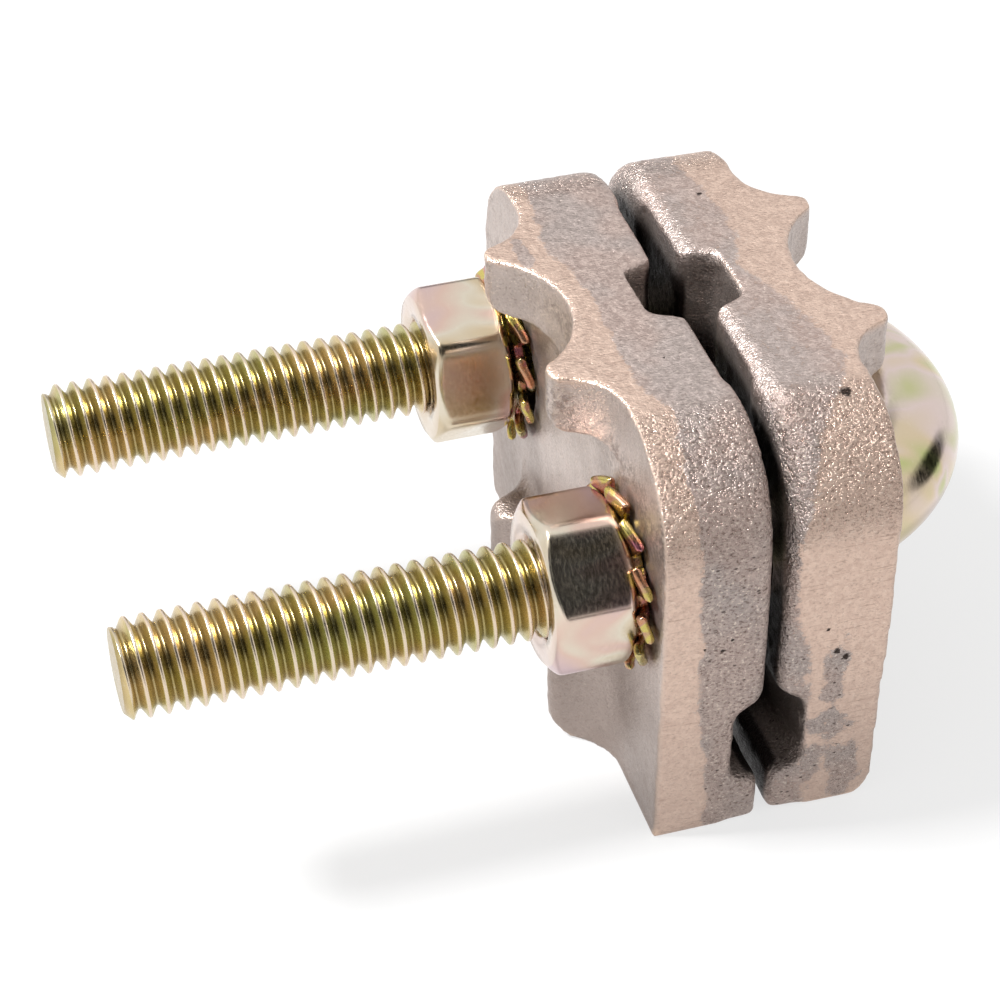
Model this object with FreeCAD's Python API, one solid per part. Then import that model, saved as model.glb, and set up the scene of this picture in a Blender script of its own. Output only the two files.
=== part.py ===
import FreeCAD, Part
import math
import os

# Ground rod clamp: two like cast jaws, a U-bolt, two hex nuts and two star lock washers.
# Millimetres. X runs along the jaws and across the two legs of the U-bolt, Y runs along the legs
# from their free ends to the bend, and Z is up. The jaws stand on Z = 0, and the origin is in the
# middle of the clamp's length and width.

# U-bolt, rolled from round bar with a 5/16-18 thread
leg_spacing = 31.4
leg_diameter = 7.94
leg_reach = 40.3
leg_tip_chamfer = 0.7
bend_outreach = 13.5
bend_radius = leg_spacing / 2
leg_radius = leg_diameter / 2

# Cast jaws: outline seen from the front
jaw_length = 49.0
jaw_height = 37.1
jaw_corner_radius = 8.5
end_taper = 1.1
leg_height = 22.0

# Cast jaws: section from the inner face outwards
web_thickness = 9.1
ridge_rise = 4.4
inner_recess = 0.45
pad_start = 13.5

# How the jaws hang on the legs: the gap at their top, and the degrees by which the back one
# leans, its foot towards the front one
jaw_gap = 1.3
back_jaw_lean = 1.2

# Cast jaws: ridges and flutes of the two flanges
ridge_offset = 8.5
rod_flute_radius = 9.0
end_flute_radius = 5.0

# Cast jaws: the level channel that the nuts, the washers and the bend lie in
channel_above = 9.6
channel_below = 10.8
channel_root_radius = 1.2
channel_lip_radius = 1.7
lug_foot_radius = 2.6
end_foot_radius = 2.0

# Cast jaws: conductor grooves in the inner faces
upright_groove_width = 6.0
upright_groove_flare = 1.3
upright_groove_depth = 2.7
level_groove_width = 6.4
level_groove_flare_below = 0.9
level_groove_flare_above = 1.9
level_groove_depth = 2.4
level_groove_start = 5.0
inner_edge_chamfer = 0.6

# Oblong leg holes of the jaws
hole_clearance = 0.5

# Hex nuts
nut_flats = 12.7
nut_height = 6.75
nut_chamfer_diameter = 12.0
nut_chamfer_angle = 30.0
nut_thread_clearance = 0.05
nut_mouth_chamfer = 0.45
near_nut_turn = 14.9
far_nut_turn = 45.8

# Star lock washers with twisted outer teeth
washer_diameter = 15.5
washer_hole_diameter = 8.4
washer_ring_diameter = 11.6
washer_sheet = 0.8
tooth_count = 12
tooth_width = 2.8
tooth_twist = 15.2
near_washer_turn = 0.0
far_washer_turn = 11.0
seat_clearance = 0.05

# Places that follow from the sizes above; inner and outer faces mirror about the parting plane
web_face = jaw_gap / 2 + web_thickness
leg_tip = -(web_face + leg_reach)
bend_tip = web_face + bend_outreach
bend_centre = bend_tip - leg_radius - bend_radius
parting_plane = -(leg_tip + bend_tip) / 2
washer_height = tooth_width * math.sin(math.radians(tooth_twist)) + washer_sheet * math.cos(
    math.radians(tooth_twist))
washer_middle = -(web_face + seat_clearance + washer_height / 2)
sprung_seat = -(web_face + 2 * seat_clearance + washer_height)
pressed_seat = -(web_face + 2 * seat_clearance + washer_sheet)
margin = 5.0


def vector(x, y, z):
    return FreeCAD.Vector(x, y, z)


def line(start, end):
    return Part.LineSegment(vector(*start), vector(*end)).toShape()


def arc(start, middle, end):
    return Part.Arc(vector(*start), vector(*middle), vector(*end)).toShape()


def on_circle(centre, radius, angle):
    """Point of a circle in a flat section, as a pair."""
    return (centre[0] + radius * math.cos(angle), centre[1] + radius * math.sin(angle))


def prism(edges, direction):
    """Solid swept from a closed flat outline."""
    return Part.Face(Part.Wire(Part.__sortEdges__(edges))).extrude(vector(*direction))


def block(x_range, y_range, z_range):
    """Box between three pairs of limits."""
    size = [pair[1] - pair[0] for pair in (x_range, y_range, z_range)]
    return Part.makeBox(*size, vector(x_range[0], y_range[0], z_range[0]))


# The jaw is drawn as the front one: inner face towards +Y on Y = 0, outer side towards -Y
def jaw_blank(depth):
    """Front view of a jaw, with tapered ends, a flat foot and two round top corners, as a slab."""
    half = jaw_length / 2
    foot = half - end_taper
    shoulder = jaw_height - jaw_corner_radius
    run = half - jaw_corner_radius
    bow = jaw_corner_radius * math.sqrt(0.5)
    edges = [line((-foot, 0, 0), (foot, 0, 0))]
    for side in (-1, 1):
        edges.append(line((side * foot, 0, 0), (side * half, 0, leg_height)))
        edges.append(line((side * half, 0, leg_height), (side * half, 0, shoulder)))
        edges.append(arc((side * half, 0, shoulder), (side * (run + bow), 0, shoulder + bow),
                         (side * run, 0, jaw_height)))
    edges.append(line((-run, 0, jaw_height), (run, 0, jaw_height)))
    return prism(edges, (0, -depth, 0))


def flute_section():
    """Plan view of the outer side: a rod flute between two round ridges, and a flute at each end."""
    rise = ridge_rise
    crown = (ridge_offset ** 2 + (rod_flute_radius - rise) ** 2 - rod_flute_radius ** 2) / (2 * rise)
    ridge_centre = (ridge_offset, rise - crown)
    reach = end_flute_radius + crown
    end_flute_x = ridge_offset + math.sqrt(reach ** 2 - (end_flute_radius - ridge_centre[1]) ** 2)
    rod_centre = (0.0, rod_flute_radius)
    end_centre = (end_flute_x, end_flute_radius)
    rod_angle = math.atan2(ridge_centre[1] - rod_centre[1], ridge_centre[0] - rod_centre[0])
    end_angle = math.atan2(ridge_centre[1] - end_centre[1], ridge_centre[0] - end_centre[0])
    down = -math.pi / 2
    rod_tangent = on_circle(rod_centre, rod_flute_radius, rod_angle)
    end_tangent = on_circle(end_centre, end_flute_radius, end_angle)
    rod_bow = on_circle(rod_centre, rod_flute_radius, (rod_angle + down) / 2)
    end_bow = on_circle(end_centre, end_flute_radius, (end_angle % (2 * math.pi) + 3 * math.pi / 2) / 2)
    limit = jaw_length / 2 + margin

    def outer(point, side):
        return (side * point[0], -web_thickness - point[1], 0)

    edges = []
    for side in (-1, 1):
        edges.append(arc(outer((0, 0), side), outer(rod_bow, side), outer(rod_tangent, side)))
        edges.append(arc(outer(rod_tangent, side), outer((ridge_offset, rise), side),
                         outer(end_tangent, side)))
        edges.append(arc(outer(end_tangent, side), outer(end_bow, side),
                         outer((end_flute_x, 0), side)))
        edges.append(line(outer((end_flute_x, 0), side), outer((limit, 0), side)))
        edges.append(line(outer((limit, 0), side), (side * limit, margin, 0)))
    edges.append(line((-limit, margin, 0), (limit, margin, 0)))
    return edges, end_flute_x


def channel_cutter():
    """Level channel across the flanges, with rounded roots and rounded lips."""
    root = channel_root_radius
    lip = channel_lip_radius
    floor = -web_thickness
    mouth = floor - ridge_rise
    out = mouth - margin
    quarter = 1 - math.sqrt(0.5)
    start = -jaw_length
    edges = []
    for side, wall in ((-1, channel_below), (1, channel_above)):
        def at(y, z):
            return (start, y, leg_height + side * z)

        edges.append(line(at(floor, 0), at(floor, wall - root)))
        edges.append(arc(at(floor, wall - root), at(floor - root * quarter, wall - root * quarter),
                         at(floor - root, wall)))
        edges.append(line(at(floor - root, wall), at(mouth + lip, wall)))
        edges.append(arc(at(mouth + lip, wall), at(mouth + lip * quarter, wall + lip * quarter),
                         at(mouth, wall + lip)))
        edges.append(line(at(mouth, wall + lip), at(out, wall + lip)))
    edges.append(line((start, out, leg_height - channel_below - lip),
                      (start, out, leg_height + channel_above + lip)))
    return prism(edges, (2 * jaw_length, 0, 0))


def foot_round_cutter(depth, radius, x_range):
    """Waste outside a rounded bottom edge that runs along X at one depth."""
    quarter = radius * (1 - math.sqrt(0.5))
    x = x_range[0]
    edges = [arc((x, -depth, radius), (x, -depth + quarter, quarter), (x, -depth + radius, 0)),
             line((x, -depth + radius, 0), (x, -depth + radius, -margin)),
             line((x, -depth + radius, -margin), (x, -depth - margin, -margin)),
             line((x, -depth - margin, -margin), (x, -depth - margin, radius)),
             line((x, -depth - margin, radius), (x, -depth, radius))]
    return prism(edges, (x_range[1] - x_range[0], 0, 0))


def groove_section(start, width, flares, depth):
    """Section of a groove as pairs (across, depth): flat bottom, sloping sides and open mouth."""
    end = start + width
    reach = 1 + margin / depth
    return [(start - flares[0] * reach, -margin), (start, depth), (end, depth),
            (end + flares[1] * reach, -margin)]


def groove_cutter(upright):
    """One conductor groove in the inner face, upright or level."""
    if upright:
        section = groove_section(-upright_groove_width / 2, upright_groove_width,
                                 (upright_groove_flare, upright_groove_flare),
                                 upright_groove_depth + inner_recess)
        points = [vector(across, -deep, -margin) for across, deep in section]
        sweep = vector(0, 0, jaw_height + 2 * margin)
    else:
        section = groove_section(level_groove_start, level_groove_width,
                                 (level_groove_flare_below, level_groove_flare_above),
                                 level_groove_depth)
        points = [vector(-jaw_length, -deep, across) for across, deep in section]
        sweep = vector(2 * jaw_length, 0, 0)
    return Part.Face(Part.makePolygon(points + points[:1])).extrude(sweep)


def leg_hole_cutter(side):
    """Oblong hole that clears the straight leg and the start of the bend."""
    radius = leg_radius + hole_clearance
    sink = web_face - bend_centre
    bend_inner = math.sqrt((bend_radius - leg_radius) ** 2 - max(sink, 0.0) ** 2)
    inner = bend_inner - hole_clearance + radius
    outer = leg_spacing / 2
    top = leg_height + radius
    low = leg_height - radius
    y = margin
    edges = [line((inner, y, top), (outer, y, top)),
             arc((outer, y, top), (outer + radius, y, leg_height), (outer, y, low)),
             line((outer, y, low), (inner, y, low)),
             arc((inner, y, low), (inner - radius, y, leg_height), (inner, y, top))]
    hole = prism(edges, (0, -jaw_length, 0))
    if side < 0:
        hole = hole.mirror(vector(0, 0, 0), vector(1, 0, 0))
    return hole


def ease_inner_edges(jaw):
    """Eased cast edge round the inner face, on the rim of the blank."""
    rim = [edge for edge in jaw.Edges
           if edge.BoundBox.YMin > -1e-4 and edge.BoundBox.ZMax > margin]
    return jaw.makeChamfer(inner_edge_chamfer, rim)


def cast_jaw():
    """One jaw casting; the back jaw is the same casting turned half round."""
    depth = web_thickness + ridge_rise
    blank = ease_inner_edges(jaw_blank(depth))
    section, end_flute_x = flute_section()
    jaw = blank.common(prism(section, (0, 0, jaw_height)))
    half = jaw_length / 2
    jaw = jaw.cut(channel_cutter())
    jaw = jaw.cut(foot_round_cutter(depth, lug_foot_radius, (-half, half)))
    jaw = jaw.cut(foot_round_cutter(web_thickness, end_foot_radius, (-half - margin, -end_flute_x)))
    jaw = jaw.cut(block((-pad_start, pad_start), (-inner_recess, margin), (-margin, jaw_height + margin)))
    jaw = jaw.cut(groove_cutter(True))
    jaw = jaw.cut(groove_cutter(False))
    for side in (-1, 1):
        jaw = jaw.cut(leg_hole_cutter(side))
    return jaw.removeSplitter()


def place_jaw(casting, turned):
    """Put the casting on its side of the parting plane; the back one leans and stands on its toe."""
    jaw = casting.copy()
    jaw.translate(vector(0, -jaw_gap / 2, 0))
    if turned:
        jaw.rotate(vector(0, 0, 0), vector(0, 0, 1), 180)
        jaw.rotate(vector(0, jaw_gap / 2, jaw_height), vector(1, 0, 0), -back_jaw_lean)
        jaw.translate(vector(0, 0, -jaw.optimalBoundingBox(False).ZMin))
    return jaw


def u_bolt():
    """Two straight legs with chamfered tips, joined by a half-ring bend."""
    bend = Part.makeTorus(bend_radius, leg_radius, vector(0, 0, 0), vector(0, 0, 1))
    reach = bend_radius + leg_radius + margin
    bend = bend.common(block((-reach, reach), (0, reach), (-reach, reach)))
    bend.translate(vector(0, bend_centre, leg_height))
    bolt = bend
    for side in (-1, 1):
        tip = vector(side * leg_spacing / 2, leg_tip, leg_height)
        length = bend_centre - leg_tip
        cone = Part.makeCone(leg_radius - leg_tip_chamfer, leg_radius, leg_tip_chamfer, tip,
                             vector(0, 1, 0))
        start = tip + vector(0, leg_tip_chamfer, 0)
        shank = Part.makeCylinder(leg_radius, length - leg_tip_chamfer, start, vector(0, 1, 0))
        bolt = bolt.fuse(cone).fuse(shank)
    return bolt.removeSplitter()


def nut_chamfer_drop(radius):
    """How far the chamfer of a nut lies behind its end face, at one distance from the leg."""
    return (radius - nut_chamfer_diameter / 2) * math.tan(math.radians(nut_chamfer_angle))


def hex_nut(side, turn, seat):
    """Double-chamfered hex nut round one leg, with its inner end face on the seat."""
    corner = nut_flats / math.sqrt(3)
    flats = [vector(corner * math.cos(k * math.pi / 3), 0, corner * math.sin(k * math.pi / 3))
             for k in range(7)]
    nut = Part.Face(Part.makePolygon(flats)).extrude(vector(0, nut_height, 0))
    face_radius = nut_chamfer_diameter / 2
    wide = corner + margin
    drop = nut_chamfer_drop(wide)
    turned = [(0, 0), (face_radius, 0), (wide, drop), (wide, nut_height - drop),
              (face_radius, nut_height), (0, nut_height)]
    rim = [vector(radius, along, 0) for radius, along in turned]
    nut = nut.common(Part.Face(Part.makePolygon(rim + rim[:1])).revolve(
        vector(0, 0, 0), vector(0, 1, 0), 360))
    bore = leg_radius + nut_thread_clearance
    mouth = bore + nut_mouth_chamfer
    hole = [(0, -margin), (mouth, -margin), (mouth, 0), (bore, nut_mouth_chamfer),
            (bore, nut_height - nut_mouth_chamfer), (mouth, nut_height),
            (mouth, nut_height + margin), (0, nut_height + margin)]
    wall = [vector(radius, along, 0) for radius, along in hole]
    nut = nut.cut(Part.Face(Part.makePolygon(wall + wall[:1])).revolve(
        vector(0, 0, 0), vector(0, 1, 0), 360))
    nut.rotate(vector(0, 0, 0), vector(0, 1, 0), -turn)
    nut.translate(vector(side * leg_spacing / 2, seat - nut_height, leg_height))
    return nut


def nut_space(seat):
    """All that lies outside the inner end of a nut on the leg's axis, with its clearance."""
    face_radius = nut_chamfer_diameter / 2
    wide = washer_diameter
    plane = seat + seat_clearance
    rim = [(0, plane), (face_radius, plane), (wide, plane - nut_chamfer_drop(wide)),
           (wide, plane - jaw_length), (0, plane - jaw_length)]
    corners = [vector(radius, along, 0) for radius, along in rim]
    return Part.Face(Part.makePolygon(corners + corners[:1])).revolve(
        vector(0, 0, 0), vector(0, 1, 0), 360)


def star_washer(side, turn, pressed):
    """Lock washer of thin sheet: a flat ring with a crown of twisted teeth, sprung or pressed.

    The ring of a pressed one lies on the jaw, and the nut flattens the teeth that it covers.
    """
    inner = washer_hole_diameter / 2
    ring_radius = washer_ring_diameter / 2
    tip = washer_diameter / 2
    axis = vector(0, 1, 0)
    ring_middle = (washer_height - washer_sheet) / 2 if pressed else 0.0
    ring_start = vector(0, ring_middle - washer_sheet / 2, 0)
    washer = Part.makeCylinder(ring_radius, washer_sheet, ring_start, axis)
    root = ring_radius - washer_sheet
    for index in range(tooth_count):
        tooth = block((root, tip), (-washer_sheet / 2, washer_sheet / 2),
                      (-tooth_width / 2, tooth_width / 2))
        tooth.rotate(vector(0, 0, 0), vector(1, 0, 0), tooth_twist)
        tooth.rotate(vector(0, 0, 0), axis, index * 360 / tooth_count + turn)
        washer = washer.fuse(tooth)
    washer = washer.cut(Part.makeCylinder(inner, 2 * margin, vector(0, -margin, 0), axis))
    if pressed:
        washer = washer.cut(nut_space(pressed_seat - washer_middle))
    washer.translate(vector(side * leg_spacing / 2, washer_middle, leg_height))
    return washer.removeSplitter()


def clamp():
    """Every piece by name, in the clamp's own frame."""
    casting = cast_jaw()
    near = 1
    far = -1
    pieces = {
        "front_jaw": place_jaw(casting, False),
        "back_jaw": place_jaw(casting, True),
        "u_bolt": u_bolt(),
        "near_nut": hex_nut(near, near_nut_turn, pressed_seat),
        "far_nut": hex_nut(far, far_nut_turn, sprung_seat),
        "near_lock_washer": star_washer(near, near_washer_turn, True),
        "far_lock_washer": star_washer(far, far_washer_turn, False),
    }
    for shape in pieces.values():
        shape.translate(vector(0, parting_plane, 0))
    return pieces


os.makedirs("parts", exist_ok=True)
for name, shape in clamp().items():
    solids = shape.Solids
    if len(solids) == 1:
        shape = solids[0]
    shape.exportStep("parts/" + name + ".step")
    box = shape.BoundBox
    print(name, "valid", shape.isValid(), "solids", len(solids), "volume", round(shape.Volume, 1),
          "x", round(box.XMin, 2), round(box.XMax, 2), "y", round(box.YMin, 2), round(box.YMax, 2),
          "z", round(box.ZMin, 2), round(box.ZMax, 2))
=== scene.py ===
import math

import bmesh
import bpy
import numpy as np
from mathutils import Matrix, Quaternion, Vector, noise


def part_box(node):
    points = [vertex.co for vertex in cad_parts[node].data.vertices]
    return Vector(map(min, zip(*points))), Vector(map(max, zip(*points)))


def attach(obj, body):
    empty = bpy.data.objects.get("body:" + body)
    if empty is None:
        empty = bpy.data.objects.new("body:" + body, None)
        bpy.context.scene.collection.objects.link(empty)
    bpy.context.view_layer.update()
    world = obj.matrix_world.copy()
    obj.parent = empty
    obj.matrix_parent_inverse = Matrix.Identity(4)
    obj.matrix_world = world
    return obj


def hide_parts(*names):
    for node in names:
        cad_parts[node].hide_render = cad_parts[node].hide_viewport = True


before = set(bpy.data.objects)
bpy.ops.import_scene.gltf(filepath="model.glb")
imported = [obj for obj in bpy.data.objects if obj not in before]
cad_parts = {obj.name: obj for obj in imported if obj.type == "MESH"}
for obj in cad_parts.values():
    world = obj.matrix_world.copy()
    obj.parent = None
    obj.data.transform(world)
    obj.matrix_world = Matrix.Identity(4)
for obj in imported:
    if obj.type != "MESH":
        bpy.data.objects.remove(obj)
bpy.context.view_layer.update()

# Ground rod clamp on a white floor. Sizes here are in millimetres and become metres where a mesh
# is made. X runs across the two legs, Y along them from their free ends to the bend, Z is up.
MM = 0.001

# Camera, at the photograph's viewing angle
CAMERA_PLACE = (181.36, -52.49, 164.49)
CAMERA_AIM = (0.11, -2.11, 18.70)
CAMERA_ROLL = -1.12
CAMERA_LENS = 104.0
CAMERA_NEAREST = 10.0
SENSOR_WIDTH = 36.0


def box_mm(node):
    """Lowest and highest corner of a node at rest, in millimetres."""
    low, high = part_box(node)
    return np.array(low) / MM, np.array(high) / MM


# Sizes that the frame gives
BOLT_LOW, BOLT_HIGH = box_mm("u_bolt")
FRONT_HIGH = box_mm("front_jaw")[1]
BACK_HIGH = box_mm("back_jaw")[1]
LEG_RADIUS = (BOLT_HIGH[2] - BOLT_LOW[2]) / 2
LEG_HEIGHT = (BOLT_HIGH[2] + BOLT_LOW[2]) / 2
BEND_RADIUS = BOLT_HIGH[0] - LEG_RADIUS
LEG_TIP = BOLT_LOW[1]
BEND_CENTRE = BOLT_HIGH[1] - LEG_RADIUS - BEND_RADIUS
JAW_HALF = FRONT_HIGH[0]
JAW_TOP = FRONT_HIGH[2]

# Thread, 5/16-18 with rolled flanks
PITCH = 1.411
THREAD_DEPTH = 0.84
THREAD_LENGTH = 43.0
THREAD_RUN_OUT = 2 * PITCH
TIP_CHAMFER = 0.7
LEG_SIDES = 80
BEND_RINGS = 96
# Places along half a pitch and the depth there, as shares: crest, flank and rounded root
THREAD_PROFILE = ((0.0, 0.0), (0.06, 0.02), (0.11, 0.10), (0.16, 0.24), (0.36, 0.80), (0.42, 0.93),
                  (0.5, 1.0))

# Nuts; a higher power makes the corners of the hexagon sharper
NUT_FLATS = 12.7
NUT_FACE_RADIUS = 6.0
NUT_BORE = 4.02
NUT_MOUTH = 0.45
NUT_CHAMFER = math.radians(30)
NUT_TURNS = {"near_nut": 14.9, "far_nut": 45.8}
NUT_SIDES = 240
NUT_END_RUN = 1.2
NUT_END_ROWS = 16
NUT_SIDE_ROWS = 10
NUT_CORNER_POWER = 18
NUT_EDGE_SHARPNESS = 5.0

# Castings
CASTING_VOXEL = 0.27
CORNER_RADIUS = 8.5
END_TAPER = 1.1
JAW_GAP = 1.3
BACK_LEAN = math.radians(1.2)

# Rounded edge of the inner face: its radius on the top of each jaw, and lower down its ends
INNER_ROUND = {"front_jaw": 0.9, "back_jaw": 2.2}
INNER_ROUND_LOW = 0.9
INNER_ROUND_PLACES = (27, 38)

# Smoothing of the castings: rounds, share for all edges, and more for those near the inner face
SOFTEN_ROUNDS = 14
SOFTEN_ALL = 0.15
SOFTEN_INNER = 0.6
INNER_EDGE_FADE = (3.6, 2.4)

# Depth that casting and blasting take off everywhere
CAST_SKIM = 0.07
# Cast unevenness: size of its bumps, mean depth, swing, seed and octaves
WAVES = (7.0, 0.0, 0.05, 3, 2)
LUMPS = (2.2, 0.03, 0.05, 5, 2)
SAND = (0.75, 0.02, 0.04, 8, 1)
CORNER_SAND = (0.62, 0.03, 0.06, 13, 1)
WORN_EDGES = (1.4, 0.04, 0.10, 11, 1)
# Share of each that stays on the linished rim
WAVES_ON_RIM = 0.5
LUMPS_ON_RIM = 0.3
SAND_ON_RIM = 0.35
# Bend of the surface, in millimetres, at which an edge or a root counts in full
FULL_CONVEX = 0.035
FULL_CONCAVE = 0.03

# Where the masks of the castings start and where they are full, in millimetres unless said
RIM_FADE = (0.75, 0.25)
RIM_SLOPE_FADE = (0.75, 0.45)  # how far the surface faces along the legs, 0 to 1
INNER_RIM_FADE = (3.0, 1.5)
INNER_FACE_FADE = (2.0, 1.0)
FOOT_FADE = (0.8, 0.2)
CORNER_START = (14.5, 18.5)
CORNER_END = (31.5, 26.5)
SIDE_START = (26.5, 30.5)
SKIN_FADE = (-0.7, 0.7)
ISLAND_FADE = (1.4, 0.6)  # in half sizes of the island
WORN_AND_HIGHLIT_FADE = (1.5, 3.0)
# The gap takes a painted shade behind its rounded edge, and so do the grooves further in
GAP_DEPTH_FADE = (0.5, 2.0)  # in radii of the rounded edge
GAP_FADE = (1.5, 0.7)
GROOVE_DEPTH_FADE = (4.5, 11.0)
GROOVE_FADE = (6.0, 3.0)
# Share of painted shade in the concave roots off the rim
ROOT_HOLLOW = 0.4

# Raggedness of the skin's outline: size of its waves, seed and octaves, then their swing
SKIN_OUTLINE = (1.6, 21, 3)
SKIN_RAGGEDNESS = 0.45
ISLAND_RAGGEDNESS = 0.55
# How fully the skin covers each jaw
SKIN_STRENGTH = {"front_jaw": 1.0, "back_jaw": 0.72}

# Star washers with twisted teeth; the near one is pressed flat under its nut
WASHER_VOXEL = 0.09
WASHER_SHEET = 0.8
WASHER_HOLE = 4.2
WASHER_RING = 5.8
WASHER_TIP = 7.72
WASHER_SIDES = 96
WASHER_TURNS = {"near_lock_washer": 0.0, "far_lock_washer": 11.0}
TOOTH_COUNT = 12
TOOTH_ROOT = 5.3
TOOTH_SHEET = 0.82
TOOTH_RISE = 0.34
TOOTH_HALF_WIDTHS = (1.05, 1.5)
TOOTH_TWIST_END = 0.75
TOOTH_GRID = (15, 17)
TOOTH_SIDE_POWER = 10
TOOTH_END_POWER = 18
TOOTH_CLEARANCE = 0.05
WASHER_SOFTEN = 0.8
WASHER_SOFTEN_ROUNDS = 2

# Bend of the surface, in millimetres, at which the edges of the steel pieces count in full
THREAD_EDGE = 0.05
STEEL_EDGE = 0.02

# Distance within which points of a mesh are one, in millimetres
CASTING_MERGE = 0.001
BOLT_MERGE = 0.002
NUT_MERGE = 0.001
WASHER_MERGE = 0.01

# How far the brown skin of each casting reaches from its inner face, as (place along the rim
# from the middle of the top, reach); the near end is positive
SKIN_REACH = {
    "front_jaw": ((-30, 7.0), (-15, 7.5), (-10, 8.2), (-7, 8.3), (-4, 7.2), (0, 6.9), (4, 7.2),
                  (12, 7.3), (16, 5.9), (22, 6.3), (37, 5.9), (44, 5.9), (47, 5.4), (53, 4.8),
                  (60, 4.8)),
    "back_jaw": ((-30, 4.6), (-16, 5.0), (-10, 6.0), (-5, 6.0), (-1, 4.3), (4, 6.2), (7, 7.1),
                 (12, 7.8), (15, 7.7), (20, 4.0), (25, 2.2), (30, 1.0), (38, 1.2), (40, 2.4),
                 (46, 2.8), (48, 1.4), (52, 2.6), (60, 3.6)),
}
# Islands of skin apart from that band: place along the rim, depth from the inner face, and the
# half sizes both ways
SKIN_ISLANDS = {
    "front_jaw": ((-7.5, 10.4, 2.6, 0.7),),
    "back_jaw": ((43.5, 4.6, 3.8, 1.2), (49.0, 4.7, 2.0, 2.0), (54.6, 6.4, 3.8, 1.6),
                 (53.1, 3.4, 2.8, 0.9)),
}
# Open pores of the castings: middle in the part's frame and radius
PORES = (((17.7, 20.3, 37.0), 0.42), ((24.2, 18.2, 16.9), 0.24), ((24.2, 19.0, 16.1), 0.28),
         ((24.3, 17.3, 19.4), 0.14), ((-12.0, 19.0, 37.2), 0.2), ((24.3, 7.2, 19.9), 0.12),
         ((24.3, 8.6, 15.5), 0.14), ((24.3, 9.4, 20.4), 0.14), ((24.3, 8.6, 19.5), 0.12),
         ((9.5, 8.6, 37.1), 0.12))

# Marks that each casting keeps for its material
CASTING_MARKS = ("rim", "skin", "edge", "shaded_hollow", "corner", "side")

# Bronze's patterns: size of one bump, height of its relief, and how far it is drawn out
GRAIN_SIZE = 0.19
GRAIN_HEIGHT = 0.10
GRAIN_STRETCH = (1.0, 1.5, 1.0)
CRUMB_SIZE = 0.55
CRUMB_HEIGHT = 0.08
STROKE_SIZE = 0.22
STROKE_HEIGHT = 0.011
STROKE_STRETCH = (0.7, 14.0, 0.7)
CLOUD_SIZE = 6.0
PIT_SIZE = 0.7
PIT_DEPTH = 0.06
PIT_STRETCH = (1.0, 1.8, 1.0)
PORE_DEPTH = 0.25
PORE_FRAY = 2.0
PORE_EDGE = (2.3, 1.7)  # in radii of the pore
BRONZE_METALLIC = 0.85
BRONZE_ROUGHNESS = (0.30, 0.42)
CORNER_SMOOTHER = 0.07
# How much crumbs and grain fray the edge of the skin
SKIN_FRAY_CRUMBS = 0.9
SKIN_FRAY_GRAIN = 0.8
# Share of dark grains and of bright grains painted as glints on sandy places and, at least, on the
# blasted side
SANDY_GRIT_AND_GLINTS = 0.45
BLASTED_GRIT_AND_GLINTS = 0.36
# Share of the painted dark reflection on the corners
PAINTED_CORNER_REFLECTION_SHARE = 0.22
# How much rougher the skin of the sides and the sandy corners are
SIDE_RELIEF = 1.8
CORNER_RELIEF = 1.9
# Heights between which stains fade in on the blasted side, and the sides take a painted shade
# towards the foot
STAIN_HEIGHTS = (22.0, 30.0)
FOOT_HEIGHTS = (20.0, 3.0)

# Zinc's patterns
RUB_SIZE = 0.4
RUB_STRETCH = (2.4, 0.5, 0.8)
RUB_ROUGHER = 0.12
ZINC_GRAIN_SIZE = 0.12
ZINC_GRAIN_HEIGHT = 0.002
BEND_SMOOTHER = 0.12

# Stage, in metres and watts
FLOOR_SIZE = 6.0
FLOOR_GREY = (0.26, 0.26, 0.26, 1)
FLOOR_GLOW = 0.70
WORLD_LIGHT = 0.62
WHITE = (1, 1, 1, 1)
KEY_PLACE = (-0.10, -0.42, 0.60)
KEY_POWER = 7.0
KEY_SIZE = 0.14
# Round cards that only reflections see: direction, distance, radius, and the strength of their
# middle and of their rim
CARDS = {
    "camera_side_card": ((0.66, -0.10, 0.70), 0.8, 0.66, 0.03, 0.55),
    "free_end_card": ((0.41, -0.70, 0.56), 0.8, 0.36, 0.02, 0.6),
    "bend_side_card": ((-0.06, 0.94, 0.24), 0.7, 0.21, 0.02, 0.6),
    "table_side_card": ((0.97, 0.21, -0.02), 0.9, 0.30, 0.32, 0.8),
    "far_side_card": ((-0.97, 0.21, 0.16), 0.9, 0.32, 0.40, 0.8),
}
CARD_FADE_START = 0.55
CARD_SIDES = 64

# How far the noise moves with each seed
SEED_STEP = (17.3, 5.1, 9.7)
UP = np.array([0.0, 0.0, 1.0])


# Meshes
def make_piece(name, points, faces, unit=MM):
    """Smooth object from points in millimetres, in a mesh where one millimetre is the unit."""
    mesh = bpy.data.meshes.new(name)
    mesh.from_pydata((np.asarray(points) * unit).tolist(), [], faces)
    mesh.update()
    mesh.polygons.foreach_set("use_smooth", [True] * len(mesh.polygons))
    piece = bpy.data.objects.new(name, mesh)
    bpy.context.scene.collection.objects.link(piece)
    return piece


def clean(piece, distance, unit=MM):
    """Merge points that coincide, drop faces without area and turn all faces outwards."""
    work = bmesh.new()
    work.from_mesh(piece.data)
    bmesh.ops.remove_doubles(work, verts=work.verts, dist=distance * unit)
    bmesh.ops.dissolve_degenerate(work, edges=work.edges, dist=distance * unit)
    bmesh.ops.recalc_face_normals(work, faces=work.faces)
    work.to_mesh(piece.data)
    work.free()


def close_holes(piece):
    """Close the open ends of a tube with flat faces."""
    work = bmesh.new()
    work.from_mesh(piece.data)
    rim = [edge for edge in work.edges if edge.is_boundary]
    made = bmesh.ops.holes_fill(work, edges=rim, sides=0)
    for face in made["faces"]:
        face.smooth = False
    bmesh.ops.recalc_face_normals(work, faces=work.faces)
    work.to_mesh(piece.data)
    work.free()


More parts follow.
